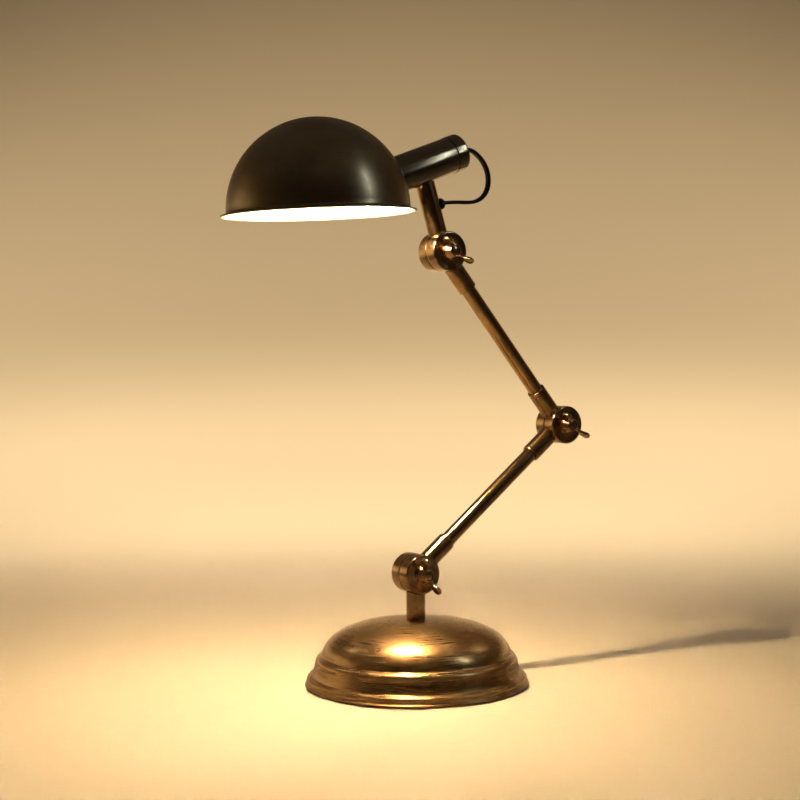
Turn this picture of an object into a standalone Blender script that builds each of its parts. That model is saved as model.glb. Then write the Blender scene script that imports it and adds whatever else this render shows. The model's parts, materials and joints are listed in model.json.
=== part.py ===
"""Swing arm desk lamp with three friction joints, in metres, +Z up.

The origin is the middle of the felt under the base. The arms lie in the XZ plane, with the
elbow towards +X and the shade towards -X. Every pivot runs along Y, wing nuts towards -Y.
In each frame of the chain local +X runs along the member, so a piece is placed along its arm.
"""

import math

import bmesh
import bpy
from mathutils import Matrix, Vector

GAP = 0.0003  # clearance between pieces that rest on each other

# Base
BASE_RADIUS = 0.100
SHELL_WALL = 0.0012
DOME_RADIUS = 0.0846
DOME_EDGE = 0.0844  # radius of the valley between the dome and the ring
DOME_FOOT = 0.0240
DOME_TOP = 0.0586
DOME_POWER = 2.35  # 2 is an ellipse, more is squarer
RING_INNER = 0.0848
RING_TOP = 0.0272
RING_SHOULDER = (0.0905, 0.0216)
RING_FOOT = (0.0936, 0.0098)
FLANGE = (0.0983, 0.0068)
LIP_BOTTOM = 0.0012
LIP = ((0.0970, 0.0034), (0.0996, 0.0026), (BASE_RADIUS, 0.0018), (0.0996, LIP_BOTTOM))
LIP_RECESS = 0.0036  # the plate sits in it
INLET_RADIUS = 0.0043
FELT_RADIUS = 0.0940
FELT_THICKNESS = 0.0015
PLATE_RADIUS = 0.0945
PLATE_THICKNESS = 0.0010
WEIGHT_RADIUS = 0.080
WEIGHT_TOP = 0.0215
WEIGHT_HUB = 0.0140
WEIGHT_CHAMFER = 0.0020
NUT_RECESS_RADIUS = 0.0125
NUT_RECESS_TOP = 0.0135
LEAD_GROOVE = ((0.008, -0.004, 0.0), (0.090, 0.004, 0.0095))
SCREW_CIRCLE = 0.058
SCREW_RADIUS = 0.0014
SCREW_HEAD = 0.0026
SCREW_TOP = 0.0100
SCREW_CLEARANCE = 0.0004
NIPPLE_RADIUS = 0.0050
NIPPLE_BORE = 0.0034
NIPPLE_ENDS = (0.0062, 0.0760)
WASHER_RADIUS = 0.0105
WASHER_SEAT = 0.0016  # from the recess's top to the nut
NUT_CORNER = 0.0095
NUT_HEIGHT = 0.0045

# Linkage
PIVOT_HEIGHT = 0.0993
ARM_LENGTH = 0.207
LOWER_ARM_ANGLE = math.radians(38.0)
UPPER_ARM_ANGLE = math.radians(129.3)
NECK_ANGLE = math.radians(106.6)
SOCKET_ANGLE = math.radians(20.1)
SHADE_ANGLE = math.radians(2.1)
NECK_LENGTH = 0.0785

# Joints
DRUM_RADIUS = 0.01775
DRUM_FACE = 0.0130  # from the mid-plane to the outer face
DRUM_CHAMFER = 0.0012
DRUM_INNER = 0.0007  # from the mid-plane to the inner face
DRUM_FLOOR = 0.0030  # the front wall of each drum
DRUM_HUB = 0.0070
DRUM_HOLLOW = 0.0148
STEM_RADIUS = 0.0086
STEM_ROOT = 0.0120  # where the stem begins inside the drum
SLEEVE_LENGTH = 0.043
SWEEP_CLEARANCE = 0.0006  # round the other half's drum
TUBE_RADIUS = 0.00675
TUBE_WALL = 0.0010
TUBE_INSET = 0.0235
BOLT_RADIUS = 0.0040
BOLT_END = -0.0214
BOLT_HEAD = 0.0080
WASHER_FACE = 0.0015
NUT_SEAT = 0.0018
NUT_END = -0.0222
WING_THICKNESS = 0.0028
WIRE_BORE = 0.0028
WIRE_SETBACK = 0.0045  # from the joint's mid-plane to the wire's passage
WING_ANGLES = (math.radians(-66), math.radians(-41), math.radians(-38))

# Head
HOUSING_RADIUS = 0.01655
HOUSING_WALL = 0.0012
HOUSING_FRONT = -0.0427
HOUSING_BACK = 0.0319
CAP_RADIUS = 0.0169
CAP_LENGTH = 0.0122
CAP_SPIGOT = 0.0060
LEAD_HOLE = 0.0043
HOLDER_MOUTH = -0.0375
HOLDER_BACK = 0.0040
CONTACT_RADIUS = 0.0024
SHADE_RING_RADIUS = 0.0205
SHADE_RING_WIDTH = 0.0024
SCREW_CAP_RADIUS = 0.0131
SCREW_CAP_MOUTH = -0.0345
SHADE_CENTRE = Vector((-0.1130, 0.0, -0.0041))  # in the socket's frame
SHADE_RADIUS = 0.0790
SHADE_RIM = 0.0842
SHADE_WALL = 0.0010
BULB_RADIUS = 0.0225
BULB_CENTRE = -0.0640
BULB_NECK = 0.0122
BULB_NECK_ANGLE = 57  # where the neck leaves the sphere, in degrees from its equator
GLASS_WALL = 0.0012
GROMMET_PLACE = 0.0415  # along the neck from the head's pivot
GROMMET_BORE = 0.0035
NECK_BORE = 0.0058
NECK_BORE_START = 0.0230
LEAD_RADIUS = 0.0020
WIRE_RADIUS = 0.0022
# The lead leaves the end cap, drops in one loop and enters the neck; world X and Z.
LEAD_ROUTE = (
    (0.0546, 0.4786),
    (0.0602, 0.4799),
    (0.0657, 0.4789),
    (0.0710, 0.4758),
    (0.0765, 0.4709),
    (0.0810, 0.4640),
    (0.0832, 0.4560),
    (0.0826, 0.4475),
    (0.0792, 0.4405),
    (0.0735, 0.4356),
    (0.0665, 0.4330),
    (0.0590, 0.4322),
    (0.0510, 0.4320),
    (0.0440, 0.4317),
    (0.0388, 0.4313),
    (0.0341, 0.4308),
)

LATHE_AXES = {
    "X": Matrix.Rotation(math.radians(90), 4, "Y"),
    "Y": Matrix.Rotation(math.radians(-90), 4, "X"),
    "Z": Matrix.Identity(4),
}
# name: colour, metallic, roughness
FINISHES = {
    "antique_brass": ((0.30, 0.20, 0.10), 1.0, 0.30),
    "dark_bronze": ((0.13, 0.10, 0.07), 1.0, 0.38),
    "cast_iron": ((0.08, 0.08, 0.08), 0.7, 0.75),
    "zinc_steel": ((0.55, 0.55, 0.53), 1.0, 0.35),
    "bright_brass": ((0.80, 0.58, 0.28), 1.0, 0.25),
    "fibre": ((0.10, 0.07, 0.05), 0.0, 0.80),
    "black_rubber": ((0.02, 0.02, 0.02), 0.0, 0.60),
    "black_pvc": ((0.015, 0.015, 0.015), 0.0, 0.40),
    "white_ceramic": ((0.85, 0.83, 0.78), 0.0, 0.25),
    "opal_glass": ((1.00, 0.93, 0.80), 0.0, 0.30),
    "felt": ((0.03, 0.03, 0.03), 0.0, 0.95),
}


def clear_scene():
    for obj in list(bpy.data.objects):
        bpy.data.objects.remove(obj, do_unlink=True)


def finish(name):
    material = bpy.data.materials.get(name) or bpy.data.materials.new(name)
    colour, metallic, roughness = FINISHES[name]
    material.use_nodes = True
    shader = material.node_tree.nodes["Principled BSDF"]
    shader.inputs["Base Color"].default_value = (*colour, 1.0)
    shader.inputs["Metallic"].default_value = metallic
    shader.inputs["Roughness"].default_value = roughness
    return material


def frame(name, parent=None, location=(0.0, 0.0, 0.0), angle=0.0):
    """An empty whose local +X is turned by angle from its parent's +X towards +Z."""
    empty = bpy.data.objects.new(name, None)
    empty.empty_display_size = 0.02
    empty.parent = parent
    empty.location = location
    empty.rotation_euler = (0.0, -angle, 0.0)
    bpy.context.scene.collection.objects.link(empty)
    return empty


def add_object(name, shape, finish_name, parent=None, location=(0.0, 0.0, 0.0)):
    """Turns a bmesh into a smooth-shaded object with outward faces."""
    bmesh.ops.recalc_face_normals(shape, faces=shape.faces)
    mesh = bpy.data.meshes.new(name)
    shape.to_mesh(mesh)
    shape.free()
    mesh.shade_smooth()
    mesh.set_sharp_from_angle(angle=math.radians(35))
    mesh.materials.append(finish(finish_name))
    obj = bpy.data.objects.new(name, mesh)
    obj.parent = parent
    obj.location = location
    bpy.context.scene.collection.objects.link(obj)
    return obj


def lathe(outline, axis="Z", segments=32):
    """Turns (radius, height) points about an axis; a radius of 0 becomes one point on it."""
    shape = bmesh.new()
    turn = LATHE_AXES[axis]
    rings = []
    for radius, height in outline:
        steps = segments if radius > 0 else 1
        angles = [2 * math.pi * step / segments for step in range(steps)]
        rings.append([
            shape.verts.new(turn @ Vector((radius * math.cos(a), radius * math.sin(a), height)))
            for a in angles
        ])
    closed = outline[0][0] > 0
    pairs = zip(rings, rings[1:] + rings[:1] if closed else rings[1:])
    for lower, upper in pairs:
        for step in range(segments):
            corners = [
                lower[step % len(lower)],
                lower[(step + 1) % len(lower)],
                upper[(step + 1) % len(upper)],
                upper[step % len(upper)],
            ]
            shape.faces.new(list(dict.fromkeys(corners)))
    return shape


def turned(name, outline, finish_name, parent=None, location=(0, 0, 0), axis="Z", segments=32):
    return add_object(name, lathe(outline, axis, segments), finish_name, parent, location)


def arc(centre, radii, start, end, steps):
    """Points of an ellipse arc, both ends included; angles in degrees from the radius axis."""
    points = []
    for step in range(steps + 1):
        angle = math.radians(start + (end - start) * step / steps)
        points.append((centre[0] + radii[0] * math.cos(angle), centre[1] + radii[1] * math.sin(angle)))
    return points


def tube_outline(inner, outer, start, end):
    return [(inner, start), (outer, start), (outer, end), (inner, end)]


def rod_outline(radius, start, end):
    return tube_outline(0.0, radius, start, end)


def offset_right(points, distance):
    """The open outline moved to the right of its direction, with mitred corners."""
    points = [Vector(point) for point in points]
    moved = []
    for index, point in enumerate(points):
        before = (point - points[index - 1]).normalized() if index > 0 else None
        after = (points[index + 1] - point).normalized() if index + 1 < len(points) else None
        before = before or after
        after = after or before
        normal = (Vector((before.y, -before.x)) + Vector((after.y, -after.x))).normalized()
        stretch = max(normal.dot(Vector((after.y, -after.x))), 0.5)
        moved.append(tuple(point + normal * distance / stretch))
    return moved


def helper(shape, parent=None, location=(0.0, 0.0, 0.0)):
    """A hidden solid for a Boolean."""
    obj = add_object("helper", shape, "zinc_steel", parent, location)
    obj.hide_render = True
    obj.display_type = "WIRE"
    return obj


def combine_with(target, operation, other):
    modifier = target.modifiers.new(operation.lower(), "BOOLEAN")
    modifier.operation = operation
    modifier.solver = "EXACT"
    modifier.object = other


def combine(target, operation, shape, parent=None, location=(0.0, 0.0, 0.0)):
    combine_with(target, operation, helper(shape, parent, location))


def prism(outline, low, high):
    """An outline of (x, y) points drawn up along Z."""
    shape = bmesh.new()
    bottom = [shape.verts.new((x, y, low)) for x, y in outline]
    top = [shape.verts.new((x, y, high)) for x, y in outline]
    shape.faces.new(bottom)
    shape.faces.new(top)
    for a, b, c, d in zip(bottom, bottom[1:] + bottom[:1], top[1:] + top[:1], top):
        shape.faces.new((a, b, c, d))
    return shape


def box(low, high):
    shape = bmesh.new()
    bmesh.ops.create_cube(shape, size=1.0)
    low, high = Vector(low), Vector(high)
    for vert in shape.verts:
        vert.co = (low + high) / 2 + Vector(c * s for c, s in zip(vert.co, high - low))
    return shape


# ---------------------------------------------------------------- base


def dome_outline(steps, hole):
    """The spun dome, from the post's hole out to the valley above the ring."""
    points = []
    for step in range(steps + 1):
        radius = hole + (DOME_EDGE - hole) * math.sin(math.pi / 2 * step / steps)
        rise = (1 - (radius / DOME_RADIUS) ** DOME_POWER) ** (1 / DOME_POWER)
        height = DOME_FOOT + (DOME_TOP - DOME_FOOT) * rise
        points.append((radius, max(height, RING_TOP)))
    return points


def build_base():
    hole = NIPPLE_RADIUS + GAP
    outer = dome_outline(7, hole)
    shoulder, foot = RING_SHOULDER, RING_FOOT
    ring_radii = (shoulder[0] - RING_INNER, RING_TOP - shoulder[1])
    outer += arc((RING_INNER, shoulder[1]), ring_radii, 75, 0, 2)
    outer += [foot]
    outer += arc((foot[0], FLANGE[1]), (FLANGE[0] - foot[0], foot[1] - FLANGE[1]), 70, 0, 2)
    recess = PLATE_RADIUS + 2 * GAP
    inner = [(recess, LIP_BOTTOM), (recess, LIP_RECESS)]
    inner += offset_right(outer, SHELL_WALL)[::-1]
    shell = turned("base_shell", [*outer, *LIP, *inner], "antique_brass", segments=36)
    slope = math.atan((foot[0] - shoulder[0]) / (shoulder[1] - foot[1]))
    inlet_place = ((foot[0] + shoulder[0]) / 2, 0, (foot[1] + shoulder[1]) / 2)
    inlet = frame("cord_inlet_frame", None, inlet_place, slope)
    inlet_bore = lathe(rod_outline(INLET_RADIUS, -0.008, 0.008), "X", 16)
    combine(shell, "DIFFERENCE", inlet_bore, inlet)
    grommet = [(0.0026, -0.0038), (0.0055, -0.0038), (0.0055, -0.0022), (0.0039, -0.0022),
               (0.0039, GAP), (0.0056, GAP), (0.0051, 0.0018), (0.0040, 0.0030), (0.0026, 0.0031)]
    turned("cord_inlet_grommet", grommet, "black_rubber", inlet, axis="X", segments=14)

    turned("felt_pad", rod_outline(FELT_RADIUS, 0.0, FELT_THICKNESS), "felt", segments=36)
    plate_low = FELT_THICKNESS + GAP
    plate_high = plate_low + PLATE_THICKNESS
    plate = turned("base_plate", rod_outline(PLATE_RADIUS, plate_low, plate_high), "zinc_steel",
                   segments=36)

    weight_low = plate_high + GAP
    dome_inside = DOME_TOP - SHELL_WALL - 2 * GAP
    weight = turned("base_weight", [
        (NUT_RECESS_RADIUS, weight_low), (WEIGHT_RADIUS, weight_low),
        (WEIGHT_RADIUS, WEIGHT_TOP - WEIGHT_CHAMFER), (WEIGHT_RADIUS - WEIGHT_CHAMFER, WEIGHT_TOP),
        (WEIGHT_HUB + 0.003, WEIGHT_TOP), (WEIGHT_HUB, WEIGHT_TOP + 0.003),
        (WEIGHT_HUB - 0.0015, dome_inside), (hole, dome_inside),
        (hole, NUT_RECESS_TOP), (NUT_RECESS_RADIUS, NUT_RECESS_TOP)], "cast_iron")
    combine(weight, "DIFFERENCE", box(*LEAD_GROOVE))
    for number in range(3):
        turn = math.radians(60 + 120 * number)
        place = (SCREW_CIRCLE * math.cos(turn), SCREW_CIRCLE * math.sin(turn), 0)
        screw = [(0.0, plate_low), (SCREW_HEAD, plate_low), (SCREW_RADIUS, plate_high),
                 (SCREW_RADIUS, SCREW_TOP), (0.0, SCREW_TOP)]
        turned(f"plate_screw_{number + 1}", screw, "zinc_steel", location=place, segments=12)
        wide, narrow = SCREW_HEAD + SCREW_CLEARANCE, SCREW_RADIUS + SCREW_CLEARANCE
        clearance = [(0.0, 0.0), (wide, 0.0), (wide, plate_low), (narrow, plate_high),
                     (narrow, SCREW_TOP + SCREW_CLEARANCE), (0.0, SCREW_TOP + SCREW_CLEARANCE)]
        for piece in (plate, weight):
            combine(piece, "DIFFERENCE", lathe(clearance, segments=12), location=place)

    nut_top = NUT_RECESS_TOP - WASHER_SEAT
    nipple = tube_outline(NIPPLE_BORE, NIPPLE_RADIUS, *NIPPLE_ENDS)
    turned("post_nipple", nipple, "zinc_steel", segments=20)
    washer = tube_outline(hole, WASHER_RADIUS, nut_top + GAP, NUT_RECESS_TOP - GAP)
    turned("post_washer", washer, "zinc_steel")
    turns = [math.pi / 3 * corner for corner in range(6)]
    corners = [(NUT_CORNER * math.cos(turn), NUT_CORNER * math.sin(turn)) for turn in turns]
    nut = add_object("post_nut", prism(corners, nut_top - NUT_HEIGHT, nut_top), "zinc_steel")
    combine(nut, "DIFFERENCE", lathe(rod_outline(hole, 0.0, 2 * nut_top)))


# ---------------------------------------------------------------- joints


def knuckle(name, parent, joint_x, side, direction, stem_end, stem_bore, bore_start):
    """Half of a joint and its sleeve in one casting.

    side is +1 for the half at the back and -1 for the half under the wing nut. direction is the
    way that the sleeve points along the frame's X axis, and joint_x is where the pivot is on it.
    """
    place = (joint_x, 0, 0)
    inner = side * DRUM_INNER
    floor = side * (DRUM_FACE - DRUM_FLOOR)
    bolt_bore = BOLT_RADIUS + GAP
    stem = rod_outline(STEM_RADIUS, direction * STEM_ROOT, direction * stem_end)
    stem = helper(lathe(stem, "X", 20), parent, place)
    swept_plane = inner + side * 0.0002
    swept = rod_outline(DRUM_RADIUS + SWEEP_CLEARANCE, swept_plane, -side * 0.0150)
    combine(stem, "DIFFERENCE", lathe(swept, "Y", 24), parent, place)
    casting = turned(name, [(bolt_bore, inner), (DRUM_HUB, inner), (DRUM_HUB, floor),
                            (DRUM_HOLLOW, floor), (DRUM_HOLLOW, inner), (DRUM_RADIUS, inner),
                            (DRUM_RADIUS, side * (DRUM_FACE - DRUM_CHAMFER)),
                            (DRUM_RADIUS - DRUM_CHAMFER, side * DRUM_FACE),
                            (bolt_bore, side * DRUM_FACE)],
                     "antique_brass", parent, place, "Y", 24)
    combine_with(casting, "UNION", stem)
    bore = rod_outline(stem_bore, direction * bore_start, direction * 0.1)
    combine(casting, "DIFFERENCE", lathe(bore, "X", 20), parent, place)
    wire_start = direction * (STEM_ROOT - 0.001)
    wire_bore = rod_outline(WIRE_BORE, wire_start, direction * (bore_start + 0.001))
    wire_place = (joint_x, side * WIRE_SETBACK, 0)
    combine(casting, "DIFFERENCE", lathe(wire_bore, "X", 12), parent, wire_place)
    return casting


def wing_nut(name, parent, joint_x, wing_angle):
    """A wing nut whose origin is on its pivot and whose wings lie along its own X axis."""
    base, top = -(DRUM_FACE + NUT_SEAT), NUT_END
    bore = BOLT_RADIUS + GAP
    nut = turned(name, [(bore, base), (0.0082, base), (0.0082, base - 0.0012), (0.0074, base - 0.0024),
                        (0.0058, top + 0.0006), (0.0052, top), (bore, top)],
                 "antique_brass", parent, (joint_x, 0, 0), "Y", 20)
    nut.rotation_euler = (0, -wing_angle, 0)
    wing = [(0.0048, base - 0.0014), (0.0100, -0.0188)]
    wing += arc((0.0140, -0.0268), (0.0038, 0.0050), 70, -120, 7)
    wing += [(0.0048, -0.0212)]
    for mirror in (1, -1):
        plate = prism([(mirror * x, y) for x, y in wing], -WING_THICKNESS / 2, WING_THICKNESS / 2)
        combine(nut, "UNION", plate, nut)
    return nut


def joint_hardware(number, parent, joint_x):
    """The bolt, the friction ring between the halves, the washer and the wing nut."""
    place = (joint_x, 0, 0)
    head = DRUM_FACE + GAP
    bolt = [(0.0, BOLT_END), (BOLT_RADIUS - 0.0006, BOLT_END), (BOLT_RADIUS, BOLT_END + 0.0008),
            (BOLT_RADIUS, head), (BOLT_HEAD, head), (BOLT_HEAD, head + 0.0016),
            (BOLT_HEAD - 0.0014, head + 0.0032), (0.0036, head + 0.0042), (0.0, head + 0.0045)]
    turned(f"pivot_bolt_{number}", bolt, "antique_brass", parent, place, "Y", 16)
    turned(f"friction_ring_{number}", tube_outline(0.0142, 0.0164, -0.0004, 0.0004), "fibre",
           parent, place, "Y", 20)
    washer = tube_outline(BOLT_RADIUS + GAP, 0.0088, -DRUM_FACE - WASHER_FACE, -DRUM_FACE - GAP)
    turned(f"thrust_washer_{number}", washer, "antique_brass", parent, place, "Y", 16)
    wing_nut(f"wing_nut_{number}", parent, joint_x, WING_ANGLES[number - 1])


def arm(name, arm_frame):
    """A thin tube held in a sleeve at each end, with the wires inside it."""
    far = ARM_LENGTH
    bore = TUBE_RADIUS + GAP
    start = TUBE_INSET - 0.0005
    knuckle(f"{name}_lower_knuckle", arm_frame, 0.0, -1, 1, SLEEVE_LENGTH, bore, start)
    knuckle(f"{name}_upper_knuckle", arm_frame, far, 1, -1, SLEEVE_LENGTH, bore, start)
    outline = tube_outline(TUBE_RADIUS - TUBE_WALL, TUBE_RADIUS, TUBE_INSET, far - TUBE_INSET)
    turned(f"{name}_tube", outline, "antique_brass", arm_frame, axis="X", segments=24)
    wire = rod_outline(WIRE_RADIUS, TUBE_INSET + 0.001, far - TUBE_INSET - 0.001)
    turned(f"wire_in_{name}", wire, "black_pvc", arm_frame, axis="X", segments=10)


# ---------------------------------------------------------------- head


def build_neck(head):
    """The front half of the top joint, with the neck tube coped to the socket housing."""
    neck_end = NECK_LENGTH - 0.004  # inside the housing until it is coped
    neck = knuckle("neck_knuckle", head, 0.0, -1, 1, neck_end, NECK_BORE, NECK_BORE_START)
    neck_socket = frame("neck_socket_frame", head, (NECK_LENGTH, 0, 0), SOCKET_ANGLE - NECK_ANGLE)
    cope = rod_outline(HOUSING_RADIUS + GAP, -0.03, 0.03)
    combine(neck, "DIFFERENCE", lathe(cope, "X", 48), neck_socket)
    bore = rod_outline(GROMMET_BORE, -0.020, 0.0)
    combine(neck, "DIFFERENCE", lathe(bore, "Z", 16), head, (GROMMET_PLACE, 0, 0))
    boot = [(0.0024, -0.0062), (0.0032, -0.0062), (0.0032, -0.0090), (0.0048, -0.0092),
            (0.0052, -0.0110), (0.0046, -0.0128), (0.0034, -0.0140), (0.0024, -0.0142)]
    turned("neck_grommet", boot, "black_rubber", head, (GROMMET_PLACE, 0, 0), "Z", 14)
    wire = rod_outline(WIRE_RADIUS, NECK_BORE_START + 0.001, 0.0400)
    turned("wire_in_neck", wire, "black_pvc", head, axis="X", segments=10)


def build_socket(socket):
    """The housing, its end cap, the lampholder and the bulb, all on the socket's own axis."""
    inner = HOUSING_RADIUS - HOUSING_WALL
    turned("socket_housing", tube_outline(inner, HOUSING_RADIUS, HOUSING_FRONT, HOUSING_BACK),
           "dark_bronze", socket, axis="X", segments=36)
    seam = HOUSING_BACK + GAP
    end = seam + CAP_LENGTH
    spigot = inner - GAP
    hollow = spigot - HOUSING_WALL
    cap = [(LEAD_HOLE, end), (CAP_RADIUS - 0.0014, end), (CAP_RADIUS - 0.0004, end - 0.0005),
           (CAP_RADIUS, end - 0.0016), (CAP_RADIUS, seam), (spigot, seam), (spigot, seam - CAP_SPIGOT),
           (hollow, seam - CAP_SPIGOT), (hollow, end - HOUSING_WALL), (LEAD_HOLE, end - HOUSING_WALL)]
    turned("housing_end_cap", cap, "dark_bronze", socket, axis="X", segments=28)
    gland = [(0.0023, end - 0.0034), (0.0056, end - 0.0034), (0.0056, end - 0.0015),
             (0.0040, end - 0.0015), (0.0040, end + GAP), (0.0058, end + GAP),
             (0.0054, end + 0.0016), (0.0034, end + 0.0030), (0.0023, end + 0.0032)]
    turned("cap_gland", gland, "black_rubber", socket, axis="X", segments=14)

    holder = [(0.0138, HOLDER_MOUTH), (0.0150, HOLDER_MOUTH), (0.0150, -0.0060), (0.0110, HOLDER_BACK),
              (0.0030, HOLDER_BACK), (0.0030, -0.0080), (0.0138, -0.0080)]
    turned("lampholder", holder, "white_ceramic", socket, axis="X", segments=20)
    contact_back = HOLDER_BACK + 0.0020
    contact = rod_outline(CONTACT_RADIUS, -0.0086, contact_back)
    turned("centre_contact", contact, "bright_brass", socket, axis="X", segments=12)
    ring_start = HOUSING_FRONT + 0.0002
    ring = tube_outline(HOUSING_RADIUS + GAP, SHADE_RING_RADIUS, ring_start, ring_start + SHADE_RING_WIDTH)
    turned("shade_ring", ring, "zinc_steel", socket, axis="X", segments=28)
    screw_cap = [(0.0, -0.0100), (0.0045, -0.0102), (0.0128, -0.0150), (SCREW_CAP_RADIUS, SCREW_CAP_MOUTH),
                 (SCREW_CAP_RADIUS - 0.0010, SCREW_CAP_MOUTH), (0.0118, -0.0160), (0.0040, -0.0114),
                 (0.0, -0.0112)]
    turned("bulb_screw_cap", screw_cap, "zinc_steel", socket, axis="X", segments=16)
    centre, inside = (0.0, BULB_CENTRE), BULB_RADIUS - GLASS_WALL
    neck_end = SCREW_CAP_MOUTH - 0.0004
    globe = arc(centre, (BULB_RADIUS, BULB_RADIUS), -90, BULB_NECK_ANGLE, 10)[1:]
    globe += [(BULB_NECK, neck_end), (BULB_NECK - GLASS_WALL, neck_end)]
    globe += arc(centre, (inside, inside), BULB_NECK_ANGLE, -90, 10)[:-1]
    globe = [(0.0, BULB_CENTRE - BULB_RADIUS)] + globe + [(0.0, BULB_CENTRE - inside)]
    turned("bulb_globe", globe, "opal_glass", socket, axis="X", segments=20)
    wire = rod_outline(WIRE_RADIUS, contact_back + 0.0006, end - 0.0040)
    turned("wire_in_housing", wire, "black_pvc", socket, axis="X", segments=10)


def build_shade(socket):
    """A spun dome with a flared rim and a side hole for the socket housing."""
    shade = frame("shade_frame", socket, SHADE_CENTRE, SHADE_ANGLE - SOCKET_ANGLE)
    outer = arc((0.0, 0.0), (SHADE_RADIUS, SHADE_RADIUS), 90, 2, 9)[1:]
    flare = [(0.0797, -0.0006), (0.0815, -0.0020), (SHADE_RIM - 0.0004, -0.0029)]
    rim = [(SHADE_RIM, -0.0034), (SHADE_RIM - 0.0005, -0.0039), (0.0812, -0.0031)]
    inside = SHADE_RADIUS - SHADE_WALL
    inner = [(0.0789, -0.0013)] + arc((0.0, 0.0), (inside, inside), 2, 90, 9)[:-1]
    outline = [(0.0, SHADE_RADIUS)] + outer + flare + rim + inner + [(0.0, inside)]
    dome = turned("shade", outline, "dark_bronze", shade, segments=36)
    hole = rod_outline(HOUSING_RADIUS + GAP, -0.060, -0.015)
    combine(dome, "DIFFERENCE", lathe(hole, "X", 48), socket)


def build_lead(head):
    """The short lead that the end cap and the neck hold between them."""
    curve = bpy.data.curves.new("head_lead", "CURVE")
    curve.dimensions = "3D"
    curve.bevel_depth = LEAD_RADIUS
    curve.bevel_resolution = 2
    curve.use_fill_caps = True
    spline = curve.splines.new("POLY")
    points = smooth_route([Vector((x, 0.0, z)) for x, z in LEAD_ROUTE], 2)
    spline.points.add(len(points) - 1)
    for target, point in zip(spline.points, points):
        target.co = (*point, 1.0)
    curve.materials.append(finish("black_pvc"))
    lead = bpy.data.objects.new("head_lead", curve)
    bpy.context.scene.collection.objects.link(lead)
    bpy.context.view_layer.update()
    lead.parent = head
    lead.matrix_parent_inverse = head.matrix_world.inverted()


def smooth_route(points, steps):
    """Catmull-Rom points through a route, steps to each span."""
    ends = [2 * points[0] - points[1]] + points + [2 * points[-1] - points[-2]]
    result = []
    for index in range(len(points) - 1):
        a, b, c, d = ends[index:index + 4]
        for step in range(steps):
            t = step / steps
            result.append(0.5 * (2 * b + (c - a) * t + (2 * a - 5 * b + 4 * c - d) * t ** 2
                                 + (3 * b - a - 3 * c + d) * t ** 3))
    return result + [points[-1]]


def main():
    clear_scene()
    build_base()
    post = frame("post_frame", None, (0, 0, PIVOT_HEIGHT), math.radians(-90))
    lower = frame("lower_arm_frame", None, (0, 0, PIVOT_HEIGHT), LOWER_ARM_ANGLE)
    reach = (ARM_LENGTH, 0, 0)
    upper = frame("upper_arm_frame", lower, reach, UPPER_ARM_ANGLE - LOWER_ARM_ANGLE)
    head = frame("head_frame", upper, reach, NECK_ANGLE - UPPER_ARM_ANGLE)
    socket = frame("socket_frame", head, (NECK_LENGTH, 0, 0), SOCKET_ANGLE - NECK_ANGLE)

    post_length = PIVOT_HEIGHT - DOME_TOP - GAP
    knuckle("post_knuckle", post, 0.0, 1, 1, post_length, NIPPLE_RADIUS + GAP, 0.0225)
    wire = rod_outline(WIRE_RADIUS, NIPPLE_ENDS[0] + 0.0002, PIVOT_HEIGHT - 0.0240)
    turned("wire_in_post", wire, "black_pvc", segments=10)
    arm("lower_arm", lower)
    arm("upper_arm", upper)
    world = frame("root_frame", None, (0, 0, PIVOT_HEIGHT), 0.0)
    joint_hardware(1, world, 0.0)
    joint_hardware(2, lower, ARM_LENGTH)
    joint_hardware(3, upper, ARM_LENGTH)
    build_neck(head)
    build_socket(socket)
    build_shade(socket)
    build_lead(head)


main()
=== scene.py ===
"""Looks of the swing arm desk lamp: spun brass base, cast friction joints, tube arms and a lit dome shade.

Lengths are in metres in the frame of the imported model: +Z up, the arms in the XZ plane, every pivot
along Y and the wing nuts towards -Y. Turned pieces are built about their own +Z axis, so one brushed
metal can follow the lathe marks of all of them.
"""

import json
import math

import bmesh
import bpy
from mathutils import Matrix, Vector


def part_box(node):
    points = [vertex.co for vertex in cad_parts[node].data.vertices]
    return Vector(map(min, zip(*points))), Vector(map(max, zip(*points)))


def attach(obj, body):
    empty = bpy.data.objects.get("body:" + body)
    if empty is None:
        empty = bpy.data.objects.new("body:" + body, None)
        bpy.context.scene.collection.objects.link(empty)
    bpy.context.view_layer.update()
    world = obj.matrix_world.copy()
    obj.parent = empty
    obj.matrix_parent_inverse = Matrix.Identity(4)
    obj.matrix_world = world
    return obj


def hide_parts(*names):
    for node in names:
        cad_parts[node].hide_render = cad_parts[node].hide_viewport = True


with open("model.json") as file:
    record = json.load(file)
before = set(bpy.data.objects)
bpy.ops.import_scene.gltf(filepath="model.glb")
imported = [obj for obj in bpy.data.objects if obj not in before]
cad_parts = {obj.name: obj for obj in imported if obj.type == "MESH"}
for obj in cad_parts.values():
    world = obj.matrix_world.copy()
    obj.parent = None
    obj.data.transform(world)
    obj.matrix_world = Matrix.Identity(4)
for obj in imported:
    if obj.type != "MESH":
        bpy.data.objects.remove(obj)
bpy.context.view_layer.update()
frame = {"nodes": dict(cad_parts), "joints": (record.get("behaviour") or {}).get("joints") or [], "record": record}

MM = 0.001

# Linkage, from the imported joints.
PIVOT = {joint["name"]: Vector(joint["pos_m"]) for joint in frame["joints"]}
BASE_PIVOT, ELBOW_PIVOT, HEAD_PIVOT = PIVOT["base_joint"], PIVOT["elbow_joint"], PIVOT["head_joint"]
ARM_LENGTH = (ELBOW_PIVOT - BASE_PIVOT).length
NECK_ANGLE = 106.6
SOCKET_ANGLE = 20.1
SHADE_ANGLE = 2.1
NECK_LENGTH = 78.5 * MM

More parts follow.
